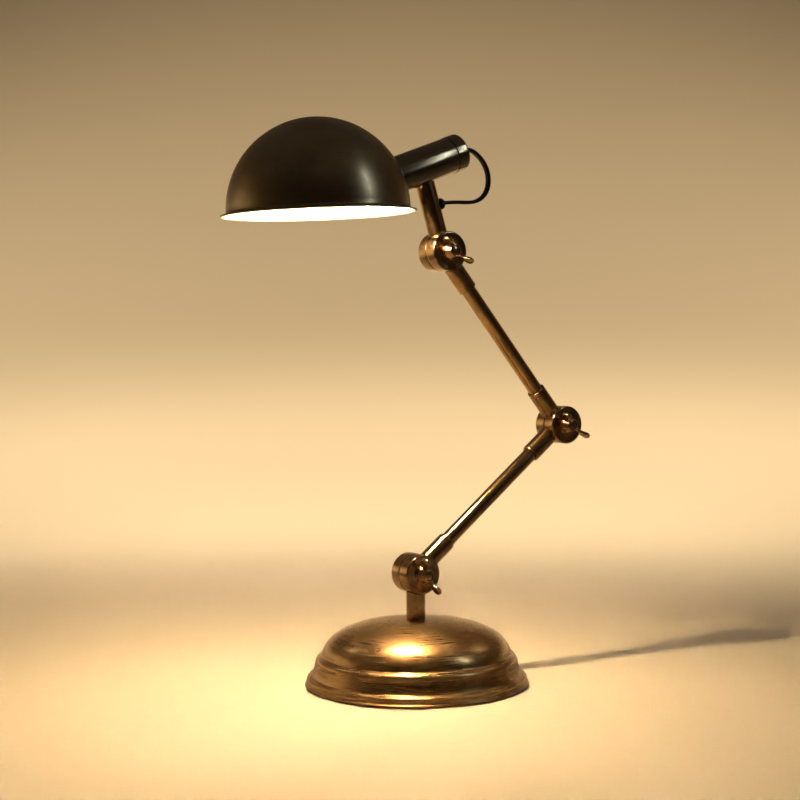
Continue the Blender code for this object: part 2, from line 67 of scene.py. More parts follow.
# Base
DOME_TOP = 58.6 * MM
DOME_RADIUS = 84.6 * MM
DOME_EDGE = 84.1 * MM
DOME_FOOT = 24.0 * MM
DOME_POWER = 2.35
BASE_WALL = 1.2 * MM
LIP_INSIDE = 95.1 * MM
POST_BORE = 5.3 * MM
INLET_RADIUS = 4.3 * MM
INLET_REACH = 8.0 * MM
INLET_SINK = 0.35 * MM
INLET_SLOPE = math.atan2(3.1, 11.8)  # how far the ring leans back at the inlet
FELT_RADIUS = 94.0 * MM
FELT_THICKNESS = 1.5 * MM

# Joints
DRUM_RADIUS = 17.75 * MM
DRUM_FACE = 13.0 * MM
DRUM_INNER = 0.7 * MM
EDGE = 1.2 * MM
DRUM_CLEARANCE = 0.6 * MM
DRUM_DEPTH = 15.0 * MM
FACE_GROOVE = 0.12 * MM
STEM_RADIUS = 8.6 * MM
STEM_START = 12.0 * MM
SLEEVE_LENGTH = 43.0 * MM
TUBE_RADIUS = 6.75 * MM
TUBE_INSET = 23.5 * MM
BOLT_RADIUS = 4.0 * MM
SLEEVE_BORE = TUBE_RADIUS + 0.15 * MM
TUBE_WALL = 1.0 * MM
BOLT_END = -21.9 * MM
CLEARANCE = 0.3 * MM
NUT_SEAT = 1.8 * MM
NUT_TOP = 22.2 * MM
LOBE_HALF_THICKNESS = 1.5 * MM
WING_ANGLES = (-66.0, -41.0, -38.0)

# Head
HOUSING_RADIUS = 16.55 * MM
HOUSING_FRONT = -42.7 * MM
HOUSING_BACK = 31.9 * MM
HOUSING_WALL = 1.2 * MM
COPE_REACH = 30.0 * MM
CAP_RADIUS = 16.9 * MM
CAP_LENGTH = 12.2 * MM
CAP_ROUNDING = 2.2 * MM
CAP_SPIGOT = 6.0 * MM
LEAD_HOLE = 4.3 * MM
SHADE_CENTRE = Vector((-113.0, 0.0, -4.1)) * MM
SHADE_RADIUS = 79.0 * MM
SHADE_RIM = 84.2 * MM
SHADE_WALL = 1.0 * MM
BULB_RADIUS = 22.5 * MM
BULB_CENTRE = -64.0 * MM
BULB_NECK = 12.2 * MM
BULB_MOUTH = -34.9 * MM
GLASS_WALL = 1.2 * MM
BULB_GLOW = 1200.0
GROMMET_PLACE = 41.5 * MM


# ---------------------------------------------------------------- node materials


class Nodes:
    """A short way to write a node tree."""

    def __init__(self, name):
        self.material = bpy.data.materials.new(name)
        self.material.use_nodes = True
        self.tree = self.material.node_tree
        self.shader = self.tree.nodes["Principled BSDF"]

    def add(self, kind, **settings):
        node = self.tree.nodes.new("ShaderNode" + kind)
        for key, value in settings.items():
            setattr(node, key, value)
        return node

    def link(self, source, target):
        self.tree.links.new(source, target)

    def position(self):
        return self.add("TexCoord").outputs["Object"]

    def mapped(self, vector, scale):
        node = self.add("Mapping")
        node.inputs["Scale"].default_value = scale
        self.link(vector, node.inputs["Vector"])
        return node.outputs["Vector"]

    def math(self, operation, first, second=0.0):
        node = self.add("Math", operation=operation)
        for socket, value in zip(node.inputs, (first, second)):
            if isinstance(value, (int, float)):
                socket.default_value = value
            else:
                self.link(value, socket)
        return node.outputs[0]

    def noise(self, vector, scale, detail=3.0, roughness=0.5):
        node = self.add("TexNoise")
        node.inputs["Scale"].default_value = scale
        node.inputs["Detail"].default_value = detail
        node.inputs["Roughness"].default_value = roughness
        self.link(vector, node.inputs["Vector"])
        return node.outputs["Fac"]

    def span(self, value, low, high, start=0.0, end=1.0):
        """value from low..high mapped to start..end."""
        node = self.add("MapRange")
        for socket, number in zip(node.inputs[1:5], (low, high, start, end)):
            socket.default_value = number
        self.link(value, node.inputs[0])
        return node.outputs[0]

    def blend(self, factor, first, second, mode="MIX"):
        node = self.add("Mix", data_type="RGBA", blend_type=mode)
        if isinstance(factor, float):
            node.inputs["Factor"].default_value = factor
        else:
            self.link(factor, node.inputs["Factor"])
        for socket, value in zip((node.inputs[6], node.inputs[7]), (first, second)):
            if isinstance(value, tuple):
                socket.default_value = (*value, 1.0)
            else:
                self.link(value, socket)
        return node.outputs[2]

    def bump(self, height, distance, strength=1.0, under=None):
        node = self.add("Bump")
        node.inputs["Strength"].default_value = strength
        node.inputs["Distance"].default_value = distance
        self.link(height, node.inputs["Height"])
        if under is not None:
            self.link(under, node.inputs["Normal"])
        return node.outputs["Normal"]

    def set(self, **values):
        for key, value in values.items():
            socket = self.shader.inputs[key.replace("_", " ")]
            if hasattr(value, "links"):
                self.link(value, socket)
            elif isinstance(value, tuple) and len(value) == 3 and len(socket.default_value) == 4:
                socket.default_value = (*value, 1.0)
            else:
                socket.default_value = value


def round_the_axis(nodes, position, per_turn, per_metre):
    """Coordinates that run slowly round the piece's Z axis and fast across it, for lathe marks."""
    split = nodes.add("SeparateXYZ")
    nodes.link(position, split.inputs[0])
    x, y, z = split.outputs
    radius = nodes.math("SQRT", nodes.math("ADD", nodes.math("MULTIPLY", x, x), nodes.math("MULTIPLY", y, y)))
    join = nodes.add("CombineXYZ")
    heading = nodes.add("VectorMath", operation="NORMALIZE")
    flat = nodes.add("CombineXYZ")
    nodes.link(x, flat.inputs[0])
    nodes.link(y, flat.inputs[1])
    nodes.link(flat.outputs[0], heading.inputs[0])
    turn = nodes.add("SeparateXYZ")
    nodes.link(heading.outputs[0], turn.inputs[0])
    across = nodes.math("MULTIPLY", nodes.math("ADD", radius, nodes.math("MULTIPLY", z, 1.37)), per_metre)
    nodes.link(nodes.math("MULTIPLY", turn.outputs[0], per_turn), join.inputs[0])
    nodes.link(nodes.math("MULTIPLY", turn.outputs[1], per_turn), join.inputs[1])
    nodes.link(across, join.inputs[2])
    return join.outputs[0]


def around(nodes, position, axis):
    """The world direction that runs round the piece's own axis."""
    cross = nodes.add("VectorMath", operation="CROSS_PRODUCT")
    cross.inputs[0].default_value = axis
    nodes.link(position, cross.inputs[1])
    world = nodes.add("VectorTransform", vector_type="VECTOR", convert_from="OBJECT", convert_to="WORLD")
    nodes.link(cross.outputs[0], world.inputs[0])
    return world.outputs[0]


def aged_metal(name, light, dark, roughness, marks="turned", depth=0.00002, patches=28.0,
               anisotropy=0.0, contrast=1.0, axis=(0.0, 0.0, 1.0)):
    """Lacquered metal with an uneven brown patina, fine working marks and small scratches."""
    nodes = Nodes(name)
    position = nodes.position()
    if marks == "turned":
        along = round_the_axis(nodes, position, 2.2, 2600.0)
    elif marks == "drawn":
        along = nodes.mapped(position, (2600.0, 2600.0, 45.0))
    else:
        along = nodes.mapped(position, (900.0, 900.0, 900.0))
    fine = nodes.noise(along, 1.0, 4.0, 0.65)
    cloud = nodes.noise(position, patches, 4.0, 0.6)
    patina = nodes.span(cloud, 0.32, 0.68)
    colour = nodes.blend(patina, light, dark)
    shade = nodes.span(fine, 0.25, 0.75, 1.0 - 0.22 * contrast, 1.0 + 0.10 * contrast)
    tone = nodes.add("CombineColor")
    for socket in tone.inputs:
        nodes.link(shade, socket)
    colour = nodes.blend(1.0, colour, tone.outputs[0], "MULTIPLY")
    specks = nodes.span(nodes.noise(position, 1400.0, 2.0), 0.70, 0.78, 0.0, 0.12)
    rough = nodes.math("ADD", nodes.span(fine, 0.2, 0.8, roughness * 0.75, roughness * 1.35),
                       nodes.math("ADD", specks, nodes.span(cloud, 0.3, 0.7, -0.02, 0.04)))
    normal = nodes.bump(fine, depth, 0.6)
    normal = nodes.bump(nodes.noise(position, 220.0, 2.0), depth * 1.5, 0.35, normal)
    nodes.set(Base_Color=colour, Metallic=1.0, Roughness=rough, Normal=normal, Coat_Weight=0.15,
              Coat_Roughness=0.12)
    if anisotropy:
        nodes.set(Anisotropic=anisotropy, Anisotropic_Rotation=0.25, Tangent=around(nodes, position, axis))
    return nodes.material


def plain(name, light, dark, roughness, scale, depth, metallic=0.0, **more):
    """A surface with mottled colour, uneven roughness and a fine grain."""
    nodes = Nodes(name)
    position = nodes.position()
    grain = nodes.noise(position, scale, 5.0, 0.6)
    colour = nodes.blend(nodes.span(grain, 0.3, 0.7), light, dark)
    rough = nodes.span(nodes.noise(position, scale * 0.3, 3.0), 0.3, 0.7, roughness * 0.85, roughness * 1.15)
    nodes.set(Base_Color=colour, Roughness=rough, Metallic=metallic, Normal=nodes.bump(grain, depth), **more)
    return nodes.material


def felt():
    nodes = Nodes("felt")
    position = nodes.position()
    fibres = nodes.noise(nodes.mapped(position, (1.0, 1.6, 1.0)), 1800.0, 6.0, 0.75)
    colour = nodes.blend(fibres, (0.012, 0.011, 0.010), (0.055, 0.052, 0.048))
    nodes.set(Base_Color=colour, Roughness=0.95, Normal=nodes.bump(fibres, 0.0004), Sheen_Weight=0.4,
              Sheen_Roughness=0.5)
    return nodes.material


def enamel():
    """The sprayed white inside of the shade, with a trace of orange peel."""
    nodes = Nodes("white_enamel")
    position = nodes.position()
    peel = nodes.noise(position, 420.0, 2.0)
    colour = nodes.blend(nodes.noise(position, 14.0), (0.86, 0.83, 0.77), (0.80, 0.76, 0.69))
    nodes.set(Base_Color=colour, Roughness=0.42, Normal=nodes.bump(peel, 0.00006), Coat_Weight=0.2)
    return nodes.material


def opal():
    """Lit opal glass, dimmer towards its neck."""
    nodes = Nodes("opal_glass")
    position = nodes.position()
    split = nodes.add("SeparateXYZ")
    nodes.link(position, split.inputs[0])
    glow = nodes.span(split.outputs[2], 18 * MM, -16 * MM, 0.55, 1.0)
    cloud = nodes.span(nodes.noise(position, 60.0), 0.3, 0.7, 0.94, 1.06)
    strength = nodes.math("MULTIPLY", nodes.math("MULTIPLY", glow, cloud), BULB_GLOW)
    nodes.set(Base_Color=(0.95, 0.90, 0.80), Roughness=0.25, Emission_Color=(1.0, 0.72, 0.40),
              Emission_Strength=strength)
    return nodes.material


# ---------------------------------------------------------------- mesh tools


def arc(centre, radii, start, end, steps):
    """Points of an ellipse arc, both ends included; angles in degrees from the radius axis."""
    turns = [math.radians(start + (end - start) * step / steps) for step in range(steps + 1)]
    return [(centre[0] + radii[0] * math.cos(t), centre[1] + radii[1] * math.sin(t)) for t in turns]


def rounded(points, radius, steps=4):
    """A closed outline with each corner replaced by a small curve, kept inside its neighbours."""
    result = []
    count = len(points)
    for index, point in enumerate(points):
        corner = Vector(point)
        before, after = Vector(points[index - 1]), Vector(points[(index + 1) % count])
        size = radius[index] if isinstance(radius, (list, tuple)) else radius
        reach = min(size, 0.45 * (before - corner).length, 0.45 * (after - corner).length)
        if reach < 1e-6 or corner.x < 1e-9:
            result.append(tuple(corner))
            continue
        start = corner + (before - corner).normalized() * reach
        end = corner + (after - corner).normalized() * reach
        for step in range(steps + 1):
            t = step / steps
            result.append(tuple((1 - t) ** 2 * start + 2 * t * (1 - t) * corner + t ** 2 * end))
    return result


def rod_outline(radius, start, end):
    return [(0.0, start), (radius, start), (radius, end), (0.0, end)]


def tube_outline(inner, outer, start, end):
    return [(inner, start), (outer, start), (outer, end), (inner, end)]


def lathe(outline, segments=128, second_from=None):
    """Turns (radius, height) points about +Z. Faces from outline index second_from on get slot 1."""
    shape = bmesh.new()
    rings = []
    for radius, height in outline:
        steps = segments if radius > 1e-9 else 1
        turns = [2 * math.pi * step / segments for step in range(steps)]
        rings.append([shape.verts.new((radius * math.cos(t), radius * math.sin(t), height)) for t in turns])
    closed = outline[0][0] > 1e-9
    pairs = list(zip(rings, rings[1:] + rings[:1] if closed else rings[1:]))
    for index, (lower, upper) in enumerate(pairs):
        for step in range(segments):
            corners = [lower[step % len(lower)], lower[(step + 1) % len(lower)],
                       upper[(step + 1) % len(upper)], upper[step % len(upper)]]
            face = shape.faces.new(list(dict.fromkeys(corners)))
            if second_from is not None and index >= second_from:
                face.material_index = 1
    return shape


def prism(outline, low, high):
    """An outline of (x, y) points drawn up along Z."""
    shape = bmesh.new()
    bottom = [shape.verts.new((x, y, low)) for x, y in outline]
    top = [shape.verts.new((x, y, high)) for x, y in outline]
    shape.faces.new(bottom)
    shape.faces.new(top)
    for a, b, c, d in zip(bottom, bottom[1:] + bottom[:1], top[1:] + top[:1], top):
        shape.faces.new((a, b, c, d))
    return shape


def place(origin, direction=(0.0, 0.0, 1.0)):
    """The matrix that puts a piece's origin there and turns its +Z to direction, its Y near world Y."""
    z = Vector(direction).normalized()
    y = Vector((0.0, 1.0, 0.0)) if abs(z.y) < 0.9 else Vector((0.0, 0.0, 1.0))
    x = y.cross(z).normalized()
    y = z.cross(x)
    matrix = Matrix((x, y, z)).transposed().to_4x4()
    matrix.translation = origin
    return matrix


def to_object(name, shape, materials, matrix):
    bmesh.ops.recalc_face_normals(shape, faces=shape.faces)
    mesh = bpy.data.meshes.new(name)
    shape.to_mesh(mesh)
    shape.free()
    for material in materials:
        mesh.materials.append(material)
    obj = bpy.data.objects.new(name, mesh)
    obj.matrix_world = matrix
    bpy.context.scene.collection.objects.link(obj)
    return obj


def combine(obj, operation, shape, matrix):
    """Cuts or joins a shape that is placed in the world, and keeps only the result."""
    other = to_object("helper", shape, [], matrix)
    modifier = obj.modifiers.new(operation, "BOOLEAN")
    modifier.operation = operation
    modifier.solver = "EXACT"
    modifier.object = other
    bpy.context.view_layer.update()
    graph = bpy.context.evaluated_depsgraph_get()
    mesh = bpy.data.meshes.new_from_object(obj.evaluated_get(graph))
    obj.modifiers.clear()
    obj.data = mesh
    bpy.data.objects.remove(other)


def piece(obj, body, replaces=(), sharp=32.0):
    """Finishes a piece: smooth shading, its body and the CAD nodes it stands for."""
    obj.data.shade_smooth()
    obj.data.set_sharp_from_angle(angle=math.radians(sharp))
    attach(obj, body)
    if replaces:
        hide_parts(*replaces)
    return obj


def turned(name, outline, material, matrix, body, replaces=(), segments=128, second=None):
    materials = [material] if second is None else [material, second[0]]
    shape = lathe(outline, segments, None if second is None else second[1])
    return piece(to_object(name, shape, materials, matrix), body, replaces)


# ---------------------------------------------------------------- finishes

SPUN_BRASS = aged_metal("spun_antique_brass", (0.60, 0.38, 0.17), (0.38, 0.225, 0.095), 0.27, anisotropy=0.25,
                        depth=0.000006, patches=36.0, contrast=0.6)
CAST_BRASS = aged_metal("cast_antique_brass", (0.60, 0.40, 0.21), (0.33, 0.20, 0.09), 0.15, marks="polished",
                        patches=90.0, depth=0.000012, anisotropy=0.3, contrast=0.8, axis=(0.0, 1.0, 0.0))
TUBE_BRASS = aged_metal("drawn_antique_brass", (0.64, 0.43, 0.23), (0.36, 0.22, 0.10), 0.13, marks="drawn",
                        patches=40.0, depth=0.000012, contrast=0.8)
BRONZE = aged_metal("brushed_dark_bronze", (0.330, 0.260, 0.165), (0.240, 0.188, 0.118), 0.31,
                    anisotropy=0.4, depth=0.000006, contrast=0.5)
HOUSING_BRONZE = aged_metal("satin_dark_bronze", (0.270, 0.220, 0.148), (0.190, 0.155, 0.102), 0.17,
                            depth=0.000008, contrast=0.6)
ENAMEL = enamel()
OPAL = opal()
FELT = felt()
IRON = plain("cast_iron", (0.10, 0.10, 0.10), (0.05, 0.05, 0.05), 0.7, 500.0, 0.0003, 0.6)
ZINC = plain("zinc_plate", (0.62, 0.62, 0.60), (0.48, 0.48, 0.46), 0.34, 260.0, 0.00002, 1.0)
BRIGHT_BRASS = plain("bright_brass", (0.82, 0.60, 0.30), (0.70, 0.48, 0.22), 0.25, 260.0, 0.00001, 1.0)
FIBRE = plain("friction_fibre", (0.035, 0.025, 0.018), (0.015, 0.011, 0.008), 0.85, 900.0, 0.0001)
RUBBER = plain("black_rubber", (0.020, 0.019, 0.018), (0.010, 0.010, 0.009), 0.50, 700.0, 0.00004)
SHEATH = plain("cable_sheath", (0.010, 0.009, 0.008), (0.005, 0.005, 0.004), 0.46, 300.0, 0.00003,
               Specular_IOR_Level=0.25)
CERAMIC = plain("white_ceramic", (0.86, 0.84, 0.79), (0.78, 0.75, 0.69), 0.22, 120.0, 0.00002)

FINISH_OF_SLOT = {
    "antique_brass": CAST_BRASS, "dark_bronze": BRONZE, "cast_iron": IRON, "zinc_steel": ZINC,
    "bright_brass": BRIGHT_BRASS, "fibre": FIBRE, "black_rubber": RUBBER, "black_pvc": SHEATH,
    "white_ceramic": CERAMIC, "opal_glass": OPAL, "felt": FELT,
}


def finish_cad_nodes():
    """The CAD nodes that stay get the finish of their slot."""
    slots = {part["node"]: part["material_slot"] for part in frame["record"]["subparts"]}
    for name, node in frame["nodes"].items():
        if not node.material_slots:
            node.data.materials.append(None)
        for holder in node.material_slots:
            holder.material = FINISH_OF_SLOT[slots[name]]


# ---------------------------------------------------------------- base


def dome_height(radius):
    """Height of the spun dome, a squared-off ellipse."""
    fall = max(0.0, 1 - (radius / DOME_RADIUS) ** DOME_POWER)
    return DOME_FOOT + (DOME_TOP - DOME_FOOT) * fall ** (1 / DOME_POWER)


def build_base():
    """The spun shell from the post's hole to the lip and back inside, with its inlet bush and the felt."""
    outer = []
    for step in range(49):
        radius = POST_BORE + (DOME_EDGE - POST_BORE) * math.sin(math.pi / 2 * step / 48)
        outer.append((radius, dome_height(radius)))
    outer += arc((85.9 * MM, 28.6 * MM), (1.5 * MM, 1.6 * MM), 195, 262, 6)
    outer += arc((84.9 * MM, 21.7 * MM), (5.6 * MM, 5.3 * MM), 72, -6, 16)
    outer += [(91.0 * MM, 19.0 * MM), (91.9 * MM, 14.5 * MM), (92.8 * MM, 11.0 * MM)]
    outer += arc((94.0 * MM, 10.7 * MM), (1.0 * MM, 1.0 * MM), 185, 258, 5)
    outer += arc((93.8 * MM, 6.9 * MM), (4.6 * MM, 2.9 * MM), 72, -6, 14)
    outer += arc((98.9 * MM, 5.0 * MM), (1.2 * MM, 1.7 * MM), 150, 262, 8)
    outer += arc((99.2 * MM, 2.1 * MM), (0.8 * MM, 0.9 * MM), 80, -90, 8)
    inner = [(LIP_INSIDE, 1.2 * MM), (LIP_INSIDE, 6.0 * MM), (91.8 * MM, 10.0 * MM),
             (88.8 * MM, 21.0 * MM), (82.4 * MM, 26.6 * MM)]
    for step in range(15, -1, -1):
        radius = POST_BORE + (80.5 * MM - POST_BORE) * math.sin(math.pi / 2 * step / 16)
        inner.append((radius, dome_height(radius) - BASE_WALL))
    shell = to_object("spun_base_shell", lathe(outer + inner, 256), [SPUN_BRASS], Matrix.Identity(4))
    low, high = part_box("cord_inlet_grommet")
    outward = Vector((math.cos(INLET_SLOPE), 0.0, math.sin(INLET_SLOPE)))
    inlet = place((low + high) / 2 - INLET_SINK * outward, outward)
    combine(shell, "DIFFERENCE", lathe(rod_outline(INLET_RADIUS, -INLET_REACH, INLET_REACH), 48), inlet)
    piece(shell, "root", ["base_shell"], 40.0)
    grommet = [(2.6, -3.5), (5.5, -3.5), (5.5, -1.9), (3.9, -1.9), (3.9, 0.6), (5.6, 0.6), (5.1, 2.1),
               (4.0, 3.3), (2.6, 3.4)]
    turned("cord_inlet_bush", rounded([(r * MM, z * MM) for r, z in grommet], 0.5 * MM), RUBBER, inlet,
           "root", ["cord_inlet_grommet"], 48)
    turned("felt_disc", rounded(rod_outline(FELT_RADIUS, 0.0, FELT_THICKNESS), 0.4 * MM), FELT,
           Matrix.Identity(4), "root", ["felt_pad"], 192)


# ---------------------------------------------------------------- joints


def knuckle(name, node, body, pivot, heading, side, length, bore, coped=None):
    """A joint half and its sleeve: a drum about the pivot and a stem along heading.

    side is +1 for the half at the back and -1 for the half under the wing nut.
    """
    back = Vector((0.0, side, 0.0))
    drum_matrix = place(pivot, back)
    stem_matrix = place(pivot, heading)
    lip = 0.6 * MM
    stem = rounded([(0.0, STEM_START), (STEM_RADIUS, STEM_START), (STEM_RADIUS, length), (bore, length),
                    (bore, TUBE_INSET - 0.5 * MM), (0.0, TUBE_INSET - 0.5 * MM)],
                   [0, 0, lip, 0.3 * MM, 0, 0])
    obj = to_object(name, lathe(stem, 96), [CAST_BRASS], stem_matrix)
    if coped is not None:
        cope = rod_outline(HOUSING_RADIUS + 0.1 * MM, -COPE_REACH, COPE_REACH)
        combine(obj, "DIFFERENCE", lathe(cope, 160), coped)
    swept = rod_outline(DRUM_RADIUS + DRUM_CLEARANCE, DRUM_INNER + 0.2 * MM, -DRUM_DEPTH)
    combine(obj, "DIFFERENCE", lathe(swept, 128), drum_matrix)
    hole = BOLT_RADIUS + CLEARANCE
    inner_edge = 0.35 * MM
    drum = [(hole, DRUM_INNER), (DRUM_RADIUS - inner_edge, DRUM_INNER),
            (DRUM_RADIUS, DRUM_INNER + inner_edge)]
    drum += arc((DRUM_RADIUS - EDGE, DRUM_FACE - EDGE), (EDGE, EDGE), 0, 90, 8)
    drum += [(DRUM_RADIUS - 2.4 * MM, DRUM_FACE), (DRUM_RADIUS - 3.0 * MM, DRUM_FACE - FACE_GROOVE),
             (9.6 * MM, DRUM_FACE - FACE_GROOVE), (9.0 * MM, DRUM_FACE), (hole, DRUM_FACE)]
    combine(obj, "UNION", lathe(drum, 128), drum_matrix)
    return piece(obj, body, [node], 34.0)


def wing_nut(number, pivot, wing_angle):
    """A cast wing nut: a tapered hub and two rounded lobes that lean outwards."""
    turn = math.radians(wing_angle)
    out = Vector((0.0, -1.0, 0.0))
    across = Vector((math.cos(turn), 0.0, math.sin(turn)))
    base = DRUM_FACE + NUT_SEAT
    hole = BOLT_RADIUS + CLEARANCE
    hub = [(hole, base), (8.2 * MM, base), (8.2 * MM, base + 1.2 * MM), (7.4 * MM, base + 2.4 * MM),
           (5.8 * MM, NUT_TOP - 0.5 * MM), (5.3 * MM, NUT_TOP), (hole, NUT_TOP)]
    nut = to_object(f"cast_wing_nut_{number}", lathe(rounded(hub, 0.5 * MM), 72), [CAST_BRASS],
                    place(pivot, out))
    outline = [(4.7, 15.6), (7.2, 16.2), (10.0, 18.4)]
    outline += arc((13.9, 26.4), (4.2, 5.6), -62, 122, 18)
    outline += [(9.2, 25.4), (7.0, 22.6), (4.7, 21.7)]
    normal = across.cross(out)
    axes = Matrix((across, out, normal)).transposed().to_4x4()
    axes.translation = pivot
    for mirror in (1, -1):
        flat = [(mirror * x * MM, y * MM) for x, y in outline]
        lobe = to_object("helper", prism(flat, -LOBE_HALF_THICKNESS, LOBE_HALF_THICKNESS), [CAST_BRASS], axes)
        soften(lobe, 1.1 * MM)
        shape = bmesh.new()
        shape.from_mesh(lobe.data)
        bpy.data.objects.remove(lobe)
        combine(nut, "UNION", shape, axes)
    return piece(nut, f"wing_nut_{number}", [f"wing_nut_{number}"], 50.0)


def soften(obj, width):
    """Rounds the edges of a flat plate and applies the result."""
    bevel = obj.modifiers.new("round", "BEVEL")
    bevel.width = width
    bevel.segments = 5
    bevel.limit_method = "ANGLE"
    bevel.angle_limit = math.radians(60)
    bpy.context.view_layer.update()
    mesh = bpy.data.meshes.new_from_object(obj.evaluated_get(bpy.context.evaluated_depsgraph_get()))
    obj.modifiers.clear()
    obj.data = mesh


def joint_hardware(number, body, pivot):
    """The bolt with its domed head at the back and the washer under the wing nut."""
    matrix = place(pivot, (0.0, 1.0, 0.0))
    head = DRUM_FACE + CLEARANCE
    bolt = [(0.0, BOLT_END), (3.3 * MM, BOLT_END), (BOLT_RADIUS - 0.2 * MM, -21.7 * MM),
            (BOLT_RADIUS, -21.2 * MM), (BOLT_RADIUS, head), (8.0 * MM, head), (8.0 * MM, head + 1.2 * MM)]
    bolt += arc((0.0, head + 1.2 * MM), (7.7 * MM, 3.4 * MM), 4, 90, 12)
    turned(f"cap_bolt_{number}", bolt, CAST_BRASS, matrix, body,
           [f"pivot_bolt_{number}"], 96)
    washer = rounded(tube_outline(BOLT_RADIUS + CLEARANCE, 8.8 * MM, -DRUM_FACE - 1.5 * MM,
                                  -DRUM_FACE - CLEARANCE), 0.35 * MM)
    turned(f"joint_washer_{number}", washer, CAST_BRASS, matrix, body,
           [f"thrust_washer_{number}"], 96)
    ring = tube_outline(14.2 * MM, 16.4 * MM, -0.4 * MM, 0.4 * MM)
    turned(f"friction_disc_{number}", ring, FIBRE, matrix, body,
           [f"friction_ring_{number}"], 128)


def arm(name, start, end):
    """A drawn tube held in a sleeve at each end."""
    heading = end - start
    knuckle(f"{name}_front_half", f"{name}_lower_knuckle", name, start, heading, -1, SLEEVE_LENGTH,
            SLEEVE_BORE)
    knuckle(f"{name}_rear_half", f"{name}_upper_knuckle", name, end, -heading, 1, SLEEVE_LENGTH,
            SLEEVE_BORE)
    outline = rounded(tube_outline(TUBE_RADIUS - TUBE_WALL, TUBE_RADIUS, TUBE_INSET,
                                   ARM_LENGTH - TUBE_INSET), 0.2 * MM)
    turned(f"{name}_drawn_tube", outline, TUBE_BRASS, place(start, heading), name,
           [f"{name}_tube"], 96)


# ---------------------------------------------------------------- head


def direction(angle):
    """A heading in the arms' plane, in degrees up from +X."""
    return Vector((math.cos(math.radians(angle)), 0.0, math.sin(math.radians(angle))))


def build_head():
    """The neck, the housing and all that it holds, and the lead's bushes. Returns the socket's matrix."""
    neck_heading = direction(NECK_ANGLE)
    socket_heading = direction(SOCKET_ANGLE)
    socket_centre = HEAD_PIVOT + NECK_LENGTH * neck_heading
    socket = place(socket_centre, socket_heading)
    knuckle("neck_front_half", "neck_knuckle", "head", HEAD_PIVOT, neck_heading, -1, NECK_LENGTH - 4 * MM,
            3.5 * MM, socket)

    inner = HOUSING_RADIUS - HOUSING_WALL
    housing = rounded(tube_outline(inner, HOUSING_RADIUS, HOUSING_FRONT, HOUSING_BACK), 0.35 * MM)
    turned("turned_socket_housing", housing, HOUSING_BRONZE, socket, "head",
           ["socket_housing"], 160)
    seam = HOUSING_BACK + CLEARANCE
    end = seam + CAP_LENGTH
    spigot = inner - CLEARANCE
    cap = [(LEAD_HOLE, end), (CAP_RADIUS - CAP_ROUNDING, end)]
    cap += arc((CAP_RADIUS - CAP_ROUNDING, end - CAP_ROUNDING), (CAP_ROUNDING, CAP_ROUNDING), 80, 0, 8)
    cap += [(CAP_RADIUS, seam + 0.4 * MM), (CAP_RADIUS - 0.4 * MM, seam), (spigot, seam),
            (spigot, seam - CAP_SPIGOT), (spigot - HOUSING_WALL, seam - CAP_SPIGOT),
            (spigot - HOUSING_WALL, end - HOUSING_WALL), (LEAD_HOLE, end - HOUSING_WALL)]
    turned("turned_end_cap", cap, HOUSING_BRONZE, socket, "head", ["housing_end_cap"], 160)
    gland = [(2.3, -3.4), (5.6, -3.4), (5.6, -1.5), (4.0, -1.5), (4.0, 0.3), (5.8, 0.3), (5.4, 1.6),
             (3.4, 3.0), (2.3, 3.2)]
    turned("end_cap_bush", rounded([(r * MM, end + z * MM) for r, z in gland], 0.4 * MM), RUBBER, socket,
           "head", ["cap_gland"], 64)

    holder = [(13.8, -37.5), (15.0, -37.5), (15.0, -6.0), (11.0, 4.0), (3.0, 4.0), (3.0, -8.0), (13.8, -8.0)]
    turned("turned_lampholder", rounded([(r * MM, z * MM) for r, z in holder], 0.4 * MM), CERAMIC, socket,
           "head", ["lampholder"], 96)
    thread = [(0.0, -10.0), (4.5, -10.2), (11.8, -14.6)]
    for turn in range(5):
        low = -16.0 - 3.6 * turn
        thread += [(12.1, low + 0.9), (12.9, low), (13.1, low - 0.9), (12.9, low - 1.8)]
    thread += [(12.6, -34.5), (12.0, -34.5), (0.0, -34.5)]
    turned("bulb_thread", [(r * MM, z * MM) for r, z in thread], ZINC, socket, "head",
           ["bulb_screw_cap"], 96)
    globe = [(0.0, BULB_CENTRE - BULB_RADIUS)]
    globe += arc((0.0, BULB_CENTRE), (BULB_RADIUS, BULB_RADIUS), -88, 52, 28)
    globe += [(13.0 * MM, -43.6 * MM), (12.3 * MM, -40.0 * MM), (BULB_NECK, BULB_MOUTH),
              (BULB_NECK - GLASS_WALL, BULB_MOUTH), (BULB_NECK - GLASS_WALL, -40.0 * MM)]
    globe += arc((0.0, BULB_CENTRE), (BULB_RADIUS - GLASS_WALL, BULB_RADIUS - GLASS_WALL), 55, -88, 20)
    globe += [(0.0, BULB_CENTRE - BULB_RADIUS + GLASS_WALL)]
    bulb = turned("lit_bulb_globe", [(r, z - BULB_CENTRE) for r, z in globe], OPAL,
                  place(socket_centre + BULB_CENTRE * socket_heading, socket_heading), "head",
                  ["bulb_globe"], 96)
    bulb.data.shade_smooth()

    boot = [(2.4, -6.2), (3.2, -6.2), (3.2, -8.9), (4.8, -9.1), (5.3, -10.8), (4.8, -12.6),
            (3.5, -13.9), (2.4, -14.2)]
    matrix = place(HEAD_PIVOT + GROMMET_PLACE * neck_heading, neck_heading.cross(Vector((0, -1, 0))))
    turned("neck_bush", rounded([(r * MM, -z * MM) for r, z in boot], 0.8 * MM), RUBBER, matrix, "head",
           ["neck_grommet"], 64)
    return socket


